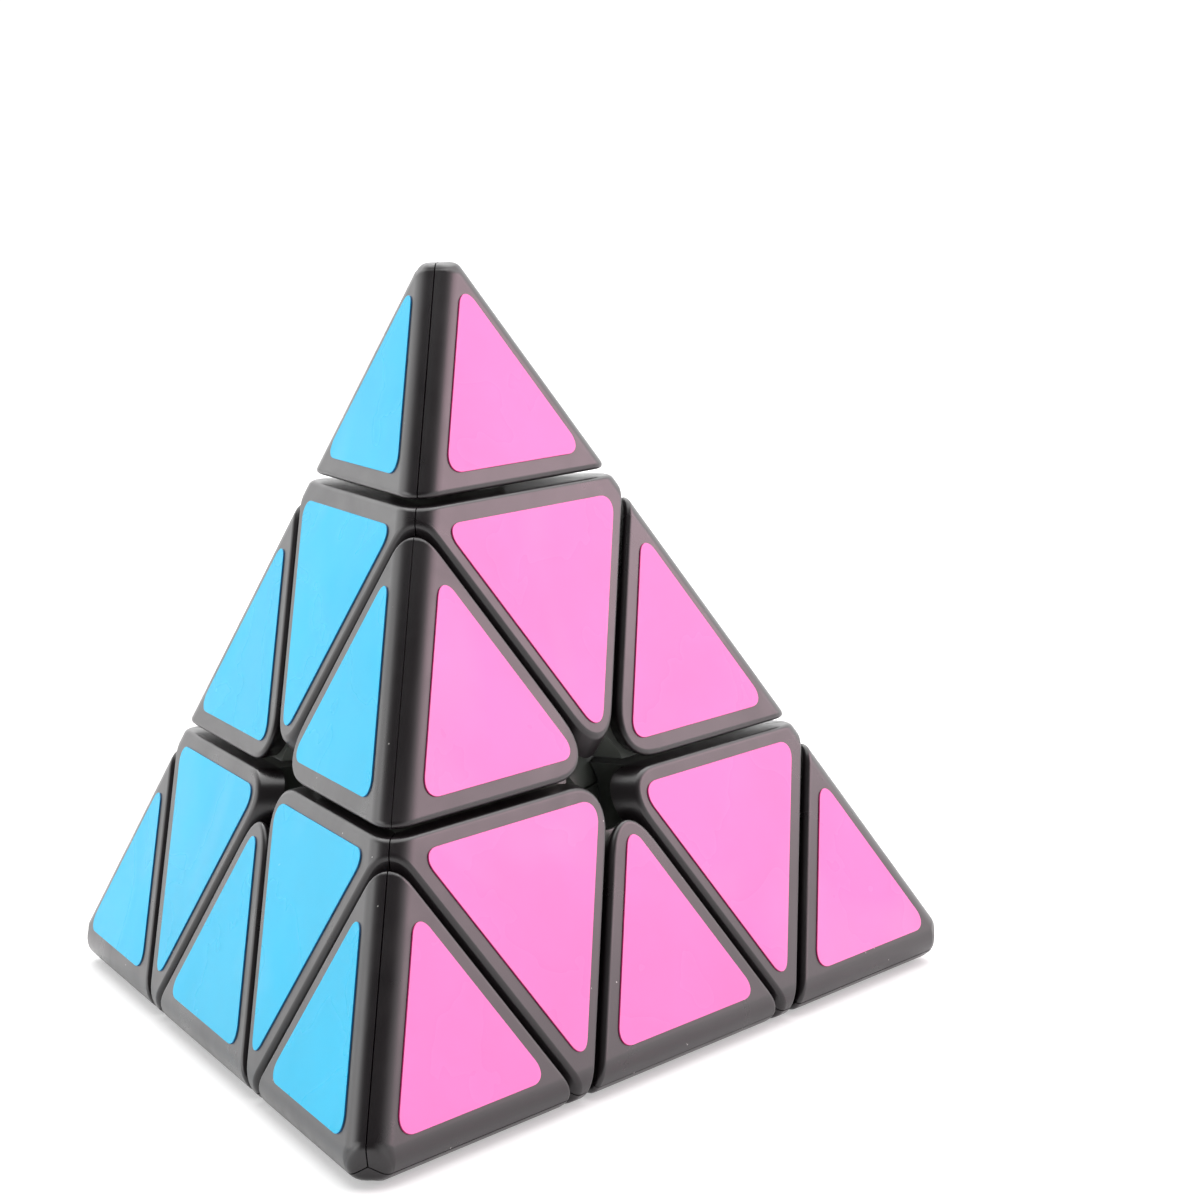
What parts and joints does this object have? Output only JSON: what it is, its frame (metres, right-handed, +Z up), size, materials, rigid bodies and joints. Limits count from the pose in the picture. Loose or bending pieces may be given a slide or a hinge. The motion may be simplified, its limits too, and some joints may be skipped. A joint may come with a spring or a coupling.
{
  "type": "pyramid twisty puzzle",
  "caption": "Tetrahedral twisty puzzle with turning tips and corner layers, black shelled plastic pieces and coloured triangle stickers on a spring-tensioned core.",
  "frame": {"origin": "centre of the core, where the four turning axes meet; also the centroid", "axes": "+Z up through the top vertex, -Y towards the front vertex, +X towards the right vertex along the back bottom edge"},
  "size_m": [0.098, 0.0854, 0.0804],
  "materials": {
    "shell_plastic": "semi-gloss black moulded plastic",
    "hub_plastic": "satin black moulded plastic",
    "core_plastic": "satin dark plastic",
    "steel": "zinc plated steel",
    "spring_steel": "drawn spring wire",
    "sticker_vinyl": "glossy vinyl sticker; each face's colour has a slot of its own",
    "sticker_blue": "glossy light blue vinyl sticker",
    "sticker_pink": "glossy pink vinyl sticker",
    "sticker_green": "glossy green vinyl sticker",
    "sticker_yellow": "glossy yellow vinyl sticker"
  },
  "bodies": {
    "core": {"core_spider": "core_plastic", "tension_screws": "steel", "tension_springs": "spring_steel", "spring_washers": "steel"},
    "corner_top": {"axial_top_hub": "hub_plastic", "axial_top_shell_back": "shell_plastic", "axial_top_shell_left": "shell_plastic", "axial_top_shell_right": "shell_plastic", "axial_top_stickers": "sticker_vinyl"},
    "tip_top": {"tip_top_hub": "hub_plastic", "tip_top_shells": "shell_plastic", "tip_top_stickers": "sticker_vinyl"},
    "corner_front": {"axial_front_hub": "hub_plastic", "axial_front_shell_base": "shell_plastic", "axial_front_shell_left": "shell_plastic", "axial_front_shell_right": "shell_plastic", "axial_front_stickers": "sticker_vinyl"},
    "tip_front": {"tip_front_hub": "hub_plastic", "tip_front_shells": "shell_plastic", "tip_front_stickers": "sticker_vinyl"},
    "corner_right": {"axial_right_hub": "hub_plastic", "axial_right_shell_base": "shell_plastic", "axial_right_shell_back": "shell_plastic", "axial_right_shell_right": "shell_plastic", "axial_right_stickers": "sticker_vinyl"},
    "tip_right": {"tip_right_hub": "hub_plastic", "tip_right_shells": "shell_plastic", "tip_right_stickers": "sticker_vinyl"},
    "corner_left": {"axial_left_hub": "hub_plastic", "axial_left_shell_base": "shell_plastic", "axial_left_shell_back": "shell_plastic", "axial_left_shell_left": "shell_plastic", "axial_left_stickers": "sticker_vinyl"},
    "tip_left": {"tip_left_hub": "hub_plastic", "tip_left_shells": "shell_plastic", "tip_left_stickers": "sticker_vinyl"},
    "edge_top_front": {"edge_top_front_foot": "hub_plastic", "edge_top_front_shell_left": "shell_plastic", "edge_top_front_shell_right": "shell_plastic", "edge_top_front_stickers": "sticker_vinyl"},
    "edge_top_right": {"edge_top_right_foot": "hub_plastic", "edge_top_right_shell_back": "shell_plastic", "edge_top_right_shell_right": "shell_plastic", "edge_top_right_stickers": "sticker_vinyl"},
    "edge_top_left": {"edge_top_left_foot": "hub_plastic", "edge_top_left_shell_back": "shell_plastic", "edge_top_left_shell_left": "shell_plastic", "edge_top_left_stickers": "sticker_vinyl"},
    "edge_front_right": {"edge_front_right_foot": "hub_plastic", "edge_front_right_shell_base": "shell_plastic", "edge_front_right_shell_right": "shell_plastic", "edge_front_right_stickers": "sticker_vinyl"},
    "edge_front_left": {"edge_front_left_foot": "hub_plastic", "edge_front_left_shell_base": "shell_plastic", "edge_front_left_shell_left": "shell_plastic", "edge_front_left_stickers": "sticker_vinyl"},
    "edge_right_left": {"edge_right_left_foot": "hub_plastic", "edge_right_left_shell_base": "shell_plastic", "edge_right_left_shell_back": "shell_plastic", "edge_right_left_stickers": "sticker_vinyl"}
  },
  "joints": [
    {"name": "turn_top_layer", "type": "hinge", "parent": "core", "child": "corner_top", "pos_m": [0, 0, 0], "axis": [0, 0, 1], "range_deg": [-120, 240]},
    {"name": "turn_front_layer", "type": "hinge", "parent": "core", "child": "corner_front", "pos_m": [0, 0, 0], "axis": [0, -0.9428, -0.3333], "range_deg": [-120, 240]},
    {"name": "turn_right_layer", "type": "hinge", "parent": "core", "child": "corner_right", "pos_m": [0, 0, 0], "axis": [0.8165, 0.4714, -0.3333], "range_deg": [-120, 240]},
    {"name": "turn_left_layer", "type": "hinge", "parent": "core", "child": "corner_left", "pos_m": [0, 0, 0], "axis": [-0.8165, 0.4714, -0.3333], "range_deg": [-120, 240]},
    {"name": "turn_top_tip", "type": "hinge", "parent": "corner_top", "child": "tip_top", "pos_m": [0, 0, 0.03613], "axis": [0, 0, 1], "continuous": true},
    {"name": "turn_front_tip", "type": "hinge", "parent": "corner_front", "child": "tip_front", "pos_m": [0, -0.03406, -0.01204], "axis": [0, -0.9428, -0.3333], "continuous": true},
    {"name": "turn_right_tip", "type": "hinge", "parent": "corner_right", "child": "tip_right", "pos_m": [0.0295, 0.01703, -0.01204], "axis": [0.8165, 0.4714, -0.3333], "continuous": true},
    {"name": "turn_left_tip", "type": "hinge", "parent": "corner_left", "child": "tip_left", "pos_m": [-0.0295, 0.01703, -0.01204], "axis": [-0.8165, 0.4714, -0.3333], "continuous": true},
    {"name": "carry_top_front", "type": "hinge", "parent": "corner_front", "child": "edge_top_front", "pos_m": [0, 0, 0], "axis": [0, 0, 1], "range_deg": [-120, 240]},
    {"name": "carry_top_right", "type": "hinge", "parent": "corner_right", "child": "edge_top_right", "pos_m": [0, 0, 0], "axis": [0, 0, 1], "range_deg": [-120, 240]},
    {"name": "carry_top_left", "type": "hinge", "parent": "corner_left", "child": "edge_top_left", "pos_m": [0, 0, 0], "axis": [0, 0, 1], "range_deg": [-120, 240]},
    {"name": "carry_front_right", "type": "hinge", "parent": "corner_front", "child": "edge_front_right", "pos_m": [0, 0, 0], "axis": [0.8165, 0.4714, -0.3333], "range_deg": [-120, 240]},
    {"name": "carry_right_left", "type": "hinge", "parent": "corner_right", "child": "edge_right_left", "pos_m": [0, 0, 0], "axis": [-0.8165, 0.4714, -0.3333], "range_deg": [-120, 240]},
    {"name": "carry_front_left", "type": "hinge", "parent": "corner_left", "child": "edge_front_left", "pos_m": [0, 0, 0], "axis": [0, -0.9428, -0.3333], "range_deg": [-120, 240]}
  ],
  "couplings": [
    {"joint": "carry_top_front", "follows": "turn_top_layer", "ratio": 1},
    {"joint": "carry_top_right", "follows": "turn_top_layer", "ratio": 1},
    {"joint": "carry_top_left", "follows": "turn_top_layer", "ratio": 1},
    {"joint": "carry_front_right", "follows": "turn_right_layer", "ratio": 1},
    {"joint": "carry_right_left", "follows": "turn_left_layer", "ratio": 1},
    {"joint": "carry_front_left", "follows": "turn_front_layer", "ratio": 1}
  ]
}
